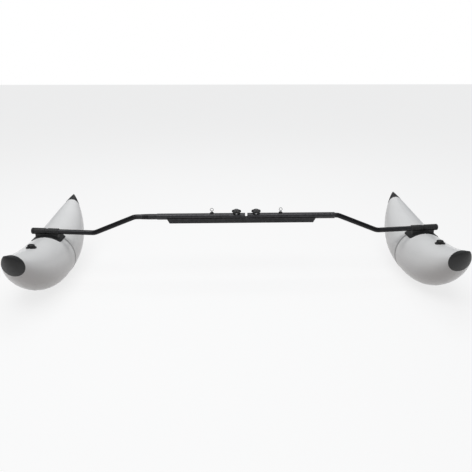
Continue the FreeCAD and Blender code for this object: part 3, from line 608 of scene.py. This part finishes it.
class OUTRIGGER_OT_saddles(bpy.types.Operator):
    """Model the black saddle patch that carries each sleeve"""
    bl_idname = "outrigger.saddles"
    bl_label = "Saddle Patches"

    def execute(self, context):
        trim = context.scene.outrigger_trim
        for side in SIDES:
            low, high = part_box(f"{side}_saddle_patch")
            half_width = (high.x - low.x) / 2
            half_length = (high.y - low.y) / 2
            middle = (high.y + low.y) / 2
            corner = trim.saddle_corner
            start_fresh()
            bpy.ops.mesh.primitive_plane_add(size=2)
            piece = name_active(f"{side}_saddle")
            put(piece, Matrix.Diagonal((half_width, half_length, 1, 1)))
            bpy.ops.object.mode_set(mode="EDIT")
            bpy.ops.mesh.select_all(action="SELECT")
            bpy.ops.mesh.bevel(offset=corner, segments=6, affect="VERTICES")
            for across in range(-11, 12):
                bpy.ops.mesh.select_all(action="SELECT")
                bpy.ops.mesh.bisect(plane_co=(across * half_width / 12, 0, 0), plane_no=(1, 0, 0))
            for along in range(-5, 6):
                bpy.ops.mesh.select_all(action="SELECT")
                bpy.ops.mesh.bisect(plane_co=(0, along * half_length / 6, 0), plane_no=(0, 1, 0))
            bpy.ops.object.mode_set(mode="OBJECT")
            place = sleeve_place(side)
            for vertex in piece.data.vertices:
                y = vertex.co.y + middle
                radius = float_ring(y)[1] / 2
                vertex.co = place @ on_float(y, asin(vertex.co.x / radius), -0.3 * MM)
            tidy(piece, 60)
            add_modifier(piece, "SOLIDIFY", thickness=trim.saddle_lift + 0.3 * MM, offset=1)
            add_modifier(piece, "BEVEL", width=0.8 * MM, segments=2, limit_method="ANGLE")
            tidy(piece, 50)
            finish_piece(piece, f"{side}_float", finishes()["black_vinyl"], "patch_black",
                         f"{side}_saddle_patch")
        return {"FINISHED"}


class OUTRIGGER_OT_sleeves(bpy.types.Operator):
    """Model the ribbed two-barrelled sleeve on each arm"""
    bl_idname = "outrigger.sleeves"
    bl_label = "Sleeves"

    def execute(self, context):
        trim = context.scene.outrigger_trim
        outer = span("right_arm_sleeve", 1) / 2
        bore = span("right_arm_tube", 1) / 2 + 0.1 * MM
        barrel = 53 * MM
        waist = 7 * MM
        end = waist + barrel
        rib = barrel / (2 * trim.sleeve_ribs + 1)
        groove = 0.7 * MM
        outline = [(bore, -end), (outer - 1.5 * MM, -end), (outer, -end + 1.5 * MM)]
        for start in (-end, waist):
            for index in range(trim.sleeve_ribs):
                low = start + rib * (2 * index + 1)
                outline += [(outer, low), (outer - groove, low + 0.4 * MM),
                            (outer - groove, low + rib - 0.4 * MM), (outer, low + rib)]
            if start < 0:
                outline += [(outer, -waist - 1 * MM), (outer - 2.2 * MM, -waist + 1 * MM),
                            (outer - 2.2 * MM, waist - 1 * MM), (outer, waist + 1 * MM)]
        outline += [(outer, end - 1.5 * MM), (outer - 1.5 * MM, end), (bore, end)]
        for side in SIDES:
            piece = turned(f"{side}_sleeve_boot", outline, 72, hollow=True)
            put(piece, sleeve_place(side) @ Matrix.Rotation(pi / 2, 4, "Y"))
            finish_piece(piece, f"{side}_float", finishes()["black_vinyl"], "patch_black",
                         f"{side}_arm_sleeve")
        return {"FINISHED"}


class OUTRIGGER_OT_end_caps(bpy.types.Operator):
    """Model the ribbed rubber cap in each arm's end"""
    bl_idname = "outrigger.end_caps"
    bl_label = "Arm End Caps"

    def execute(self, context):
        radius = 16.3 * MM
        length = 15 * MM
        bore = 11.1 * MM
        plug = 20 * MM
        outline = [(bore - 1 * MM, -plug), (bore, -plug + 1 * MM), (bore, 0), (radius - 1 * MM, 0),
                   (radius, 1 * MM)]
        for index in range(3):
            low = (2 + 2.6 * index) * MM
            outline += [(radius, low), (radius - 0.6 * MM, low + 0.4 * MM), (radius - 0.6 * MM, low + 1 * MM),
                        (radius, low + 1.4 * MM)]
        for step in range(7):
            angle = pi / 2 * step / 6
            outline.append((radius - 5 * MM + 5 * MM * cos(angle), length - 5 * MM + 5 * MM * sin(angle)))
        outline += [(8 * MM, length), (6 * MM, length - 0.8 * MM), (1 * MM, length - 0.8 * MM)]
        from_middle = 60.5 * MM
        for side in SIDES:
            piece = turned(f"{side}_end_cap", outline, 64)
            outwards = Matrix.Rotation(OUTWARD[side] * pi / 2, 4, "Y")
            face = Matrix.Translation((OUTWARD[side] * from_middle, 0, 0))
            put(piece, sleeve_place(side) @ face @ outwards)
            finish_piece(piece, f"{side}_arm", finishes()["soft_rubber"], "rubber_black", f"{side}_arm_end_cap")
        return {"FINISHED"}


class OUTRIGGER_OT_valve_caps(bpy.types.Operator):
    """Model the domed screw cap of each float's valve"""
    bl_idname = "outrigger.valve_caps"
    bl_label = "Valve Caps"

    def execute(self, context):
        trim = context.scene.outrigger_trim
        foot = 3.3 * MM
        top = 17 * MM
        radius = 16.4 * MM
        roof = 8.3 * MM
        inside = 15.3 * MM
        round_off = 8 * MM
        outline = [(inside, foot), (radius - 0.5 * MM, foot), (radius, foot + 0.5 * MM), (radius, foot + 1 * MM),
                   (radius, top - round_off - 0.5 * MM)]
        for step in range(1, 8):
            angle = pi / 2 * step / 7
            outline.append((radius - round_off + round_off * cos(angle),
                            top - round_off + round_off * sin(angle) * 0.98))
        outline += [(6 * MM, top - 0.2 * MM), (5 * MM, top - 0.9 * MM), (0.6 * MM, top - 0.9 * MM),
                    (0.6 * MM, roof), (inside, roof)]
        for side in SIDES:
            piece = turned(f"{side}_valve_knob", outline, 4 * trim.cap_grips, hollow=True)
            mesh = piece.data
            grips = []
            for face in mesh.polygons:
                middle = face.center
                out = Vector((middle.x, middle.y)).length
                turn = round(atan2(middle.y, middle.x) / (2 * pi) * 4 * trim.cap_grips - 0.5) % 4
                grips.append(out > radius * 0.98 and foot + 1 * MM < middle.z < top - round_off and turn in (0, 1))
            push_faces(piece, lambda face: grips[face.index], 0.6 * MM, 0.15 * MM)
            tidy(piece, 30)
            put(piece, valve_place(side))
            finish_piece(piece, f"{side}_valve_cap", finishes()["moulded_plastic"], "plastic_black",
                         f"{side}_valve_cap")
        return {"FINISHED"}


def valve_place(side):
    """Where a valve's axis leaves the float's skin."""
    low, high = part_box(f"{side}_valve_base")
    ahead = -(low.y + high.y) / 2
    ahead = bpy.context.scene.outrigger_studio and VALVE_AHEAD
    axis = sleeve_place(side).to_3x3().inverted() @ Vector(JOINTS[f"{side}_valve_cap_lift"]["axis"])
    lean = atan2(axis.y, axis.z)
    spot = Matrix.Translation(on_float(-ahead, 0))
    return sleeve_place(side) @ spot @ Matrix.Rotation(-lean, 4, "X")


VALVE_AHEAD = 195 * MM


class OUTRIGGER_OT_star_knobs(bpy.types.Operator):
    """Model the star knobs with rounded lobes and a raised hub"""
    bl_idname = "outrigger.star_knobs"
    bl_label = "Star Knobs"

    def execute(self, context):
        lobes = context.scene.outrigger_trim.knob_lobes
        for side in SIDES:
            low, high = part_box(f"{side}_star_knob")
            centre = Vector(JOINTS[f"{side}_knob_turn"]["pos_m"])
            height = high.z - low.z
            reach = 24.3 * MM
            hub = 16 * MM
            bolt = 5.5 * MM
            rim = 12 * MM
            outline = [(bolt, 0), (reach * 0.86, 0), (reach * 0.97, 1.4 * MM), (reach, 4 * MM),
                       (reach, rim - 5 * MM), (reach * 0.95, rim - 1.6 * MM), (reach * 0.85, rim),
                       (hub, rim + 0.6 * MM), (hub * 0.62, height - 0.6 * MM), (hub * 0.54, height),
                       (bolt, height)]
            piece = turned(f"{side}_knob", outline, 24 * lobes, hollow=True)
            for vertex in piece.data.vertices:
                out = Vector((vertex.co.x, vertex.co.y))
                if out.length > hub * 1.02:
                    angle = atan2(out.y, out.x) - pi / 2
                    dent = (0.5 - 0.5 * cos(lobes * angle)) ** 1.6
                    share = min(1, (out.length - hub) / (reach * 0.85 - hub))
                    scale = 1 - 0.24 * dent * share
                    vertex.co.x *= scale
                    vertex.co.y *= scale
            put(piece, Matrix.Translation((centre.x, centre.y, low.z)))
            tidy(piece, 40)
            finish_piece(piece, f"{side}_knob", finishes()["moulded_plastic"], "plastic_black",
                         f"{side}_star_knob")
        return {"FINISHED"}


NODE_FINISH = {
    "deck_rail": "anodised_rail", "rail_plug": "moulded_plastic", "receiver_tube": "anodised_tube",
    "clamp_bolt": "turned_steel", "saddle_washer": "turned_steel", "t_nut": "turned_steel",
    "plunger_housing": "moulded_plastic", "plunger_spring": "turned_steel", "locking_pin": "turned_steel",
    "pull_ring": "blackened_steel", "slide_tube": "anodised_tube", "glide_plug": "moulded_plastic",
    "glide_ring": "moulded_plastic", "arm_tube": "anodised_tube", "sleeve_foot": "black_vinyl",
    "valve_base": "moulded_plastic", "valve_grid": "moulded_plastic", "valve_diaphragm": "soft_rubber",
    "float_skin": "float_vinyl", "girth_seam": "seam_tape_painted_shade", "nose_patch": "black_vinyl",
    "tail_patch": "black_vinyl", "saddle_patch": "black_vinyl", "arm_sleeve": "black_vinyl",
    "arm_end_cap": "soft_rubber", "valve_cap": "moulded_plastic", "star_knob": "moulded_plastic",
}


class OUTRIGGER_OT_carried_finishes(bpy.types.Operator):
    """Finish the tubes, rail and fittings that keep their solid shape"""
    bl_idname = "outrigger.carried_finishes"
    bl_label = "Tube and Rail Finishes"

    def execute(self, context):
        materials = finishes()
        for name, node in frame["nodes"].items():
            stem = name.removeprefix("left_").removeprefix("right_")
            node.data.materials.clear()
            node.data.materials.append(materials[NODE_FINISH[stem]])
        return {"FINISHED"}


def make_floor_material():
    """Pale floor: white to the camera and in reflections, greyer for the light that it throws back."""
    material = bpy.data.materials.new("studio_floor")
    material.use_nodes = True
    nodes = material.node_tree.nodes
    links = material.node_tree.links
    nodes.clear()
    path = nodes.new("ShaderNodeLightPath")
    seen = path.outputs["Is Camera Ray"]
    for other in ("Is Glossy Ray", "Is Transmission Ray"):
        either = nodes.new("ShaderNodeMath")
        either.operation = "MAXIMUM"
        links.new(seen, either.inputs[0])
        links.new(path.outputs[other], either.inputs[1])
        seen = either.outputs[0]
    grey = nodes.new("ShaderNodeBsdfDiffuse")
    grey.inputs["Color"].default_value = (0.34, 0.31, 0.295, 1)
    white = nodes.new("ShaderNodeBsdfDiffuse")
    white.inputs["Color"].default_value = (0.9, 0.9, 0.9, 1)
    glow = nodes.new("ShaderNodeEmission")
    glow.inputs["Color"].default_value = (1, 1, 1, 1)
    pale = nodes.new("ShaderNodeMixShader")
    pale.inputs["Fac"].default_value = 0.78
    links.new(white.outputs[0], pale.inputs[1])
    links.new(glow.outputs[0], pale.inputs[2])
    mix = nodes.new("ShaderNodeMixShader")
    links.new(seen, mix.inputs["Fac"])
    links.new(grey.outputs[0], mix.inputs[1])
    links.new(pale.outputs[0], mix.inputs[2])
    output = nodes.new("ShaderNodeOutputMaterial")
    links.new(mix.outputs[0], output.inputs["Surface"])
    return material


def make_world():
    """White to the camera and in reflections, a soft grey light for everything else."""
    world = bpy.data.worlds.new("studio_world")
    bpy.context.scene.world = world
    world.use_nodes = True
    nodes = world.node_tree.nodes
    links = world.node_tree.links
    nodes.clear()
    path = nodes.new("ShaderNodeLightPath")
    seen = nodes.new("ShaderNodeMath")
    seen.operation = "MAXIMUM"
    links.new(path.outputs["Is Camera Ray"], seen.inputs[0])
    links.new(path.outputs["Is Transmission Ray"], seen.inputs[1])
    soft = nodes.new("ShaderNodeBackground")
    soft.inputs["Color"].default_value = (0.93, 0.96, 1, 1)
    soft.inputs["Strength"].default_value = 0.32
    white = nodes.new("ShaderNodeBackground")
    white.inputs["Color"].default_value = (1, 1, 1, 1)
    mix = nodes.new("ShaderNodeMixShader")
    links.new(seen.outputs[0], mix.inputs["Fac"])
    links.new(soft.outputs[0], mix.inputs[1])
    links.new(white.outputs[0], mix.inputs[2])
    output = nodes.new("ShaderNodeOutputWorld")
    links.new(mix.outputs[0], output.inputs["Surface"])


def add_softbox(name, place, aim, width, height, power):
    """A rectangular studio light that looks at a point."""
    start_fresh()
    bpy.ops.object.light_add(type="AREA", location=place)
    light = bpy.context.active_object
    light.name = name
    light.data.shape = "RECTANGLE"
    light.data.size = width
    light.data.size_y = height
    light.data.energy = power
    light.rotation_euler = (Vector(aim) - Vector(place)).to_track_quat("-Z", "Y").to_euler()


class OUTRIGGER_OT_stage(bpy.types.Operator):
    """Set up the floor, the studio lights and the camera"""
    bl_idname = "outrigger.stage"
    bl_label = "Studio"

    def execute(self, context):
        studio = context.scene.outrigger_studio
        start_fresh()
        bpy.ops.mesh.primitive_plane_add(size=studio.floor_size)
        floor = name_active("studio_floor")
        floor.data.materials.append(make_floor_material())
        make_world()
        add_softbox("key_light", (-0.6, -1.4, 3.4), (0, 0, 0.2), 3.6, 1.6, 62)
        add_softbox("top_light", (0, 1.2, 3.6), (0, 0.2, 0.2), 4.0, 1.4, 40)
        start_fresh()
        bpy.ops.object.camera_add(location=studio.camera_place)
        camera = bpy.context.active_object
        camera.name = "studio_camera"
        camera.rotation_euler = (pi / 2 - studio.camera_tilt, 0, -studio.camera_turn)
        camera.data.lens = studio.lens
        camera.data.sensor_width = 36
        camera.data.clip_end = 100
        context.scene.camera = camera
        context.scene.view_settings.view_transform = "Standard"
        return {"FINISHED"}


STEPS = (
    OUTRIGGER_OT_carried_finishes, OUTRIGGER_OT_floats, OUTRIGGER_OT_girth_tapes, OUTRIGGER_OT_end_boots,
    OUTRIGGER_OT_saddles, OUTRIGGER_OT_sleeves, OUTRIGGER_OT_end_caps, OUTRIGGER_OT_valve_caps,
    OUTRIGGER_OT_star_knobs, OUTRIGGER_OT_stage,
)


class OUTRIGGER_PT_panel(bpy.types.Panel):
    """Sizes, colours and steps of the outrigger"""
    bl_idname = "OUTRIGGER_PT_panel"
    bl_label = "Kayak Outrigger"
    bl_space_type = "VIEW_3D"
    bl_region_type = "UI"
    bl_category = "Outrigger"

    def draw(self, context):
        for group, settings in SETTINGS.items():
            column = self.layout.column(heading=settings.__doc__)
            for setting in settings.__annotations__:
                column.prop(getattr(context.scene, group), setting)
        for step in STEPS:
            self.layout.operator(step.bl_idname)


def register():
    for group, settings in SETTINGS.items():
        bpy.utils.register_class(settings)
        setattr(bpy.types.Scene, group, PointerProperty(type=settings))
    for step in STEPS:
        bpy.utils.register_class(step)
    bpy.utils.register_class(OUTRIGGER_PT_panel)


def unregister():
    bpy.utils.unregister_class(OUTRIGGER_PT_panel)
    for step in reversed(STEPS):
        bpy.utils.unregister_class(step)
    for group, settings in SETTINGS.items():
        delattr(bpy.types.Scene, group)
        bpy.utils.unregister_class(settings)


def main():
    register()
    bpy.ops.outrigger.carried_finishes()
    bpy.ops.outrigger.floats()
    bpy.ops.outrigger.girth_tapes()
    bpy.ops.outrigger.end_boots()
    bpy.ops.outrigger.saddles()
    bpy.ops.outrigger.sleeves()
    bpy.ops.outrigger.end_caps()
    bpy.ops.outrigger.valve_caps()
    bpy.ops.outrigger.star_knobs()
    bpy.ops.outrigger.stage()


if __name__ == "__main__":
    main()
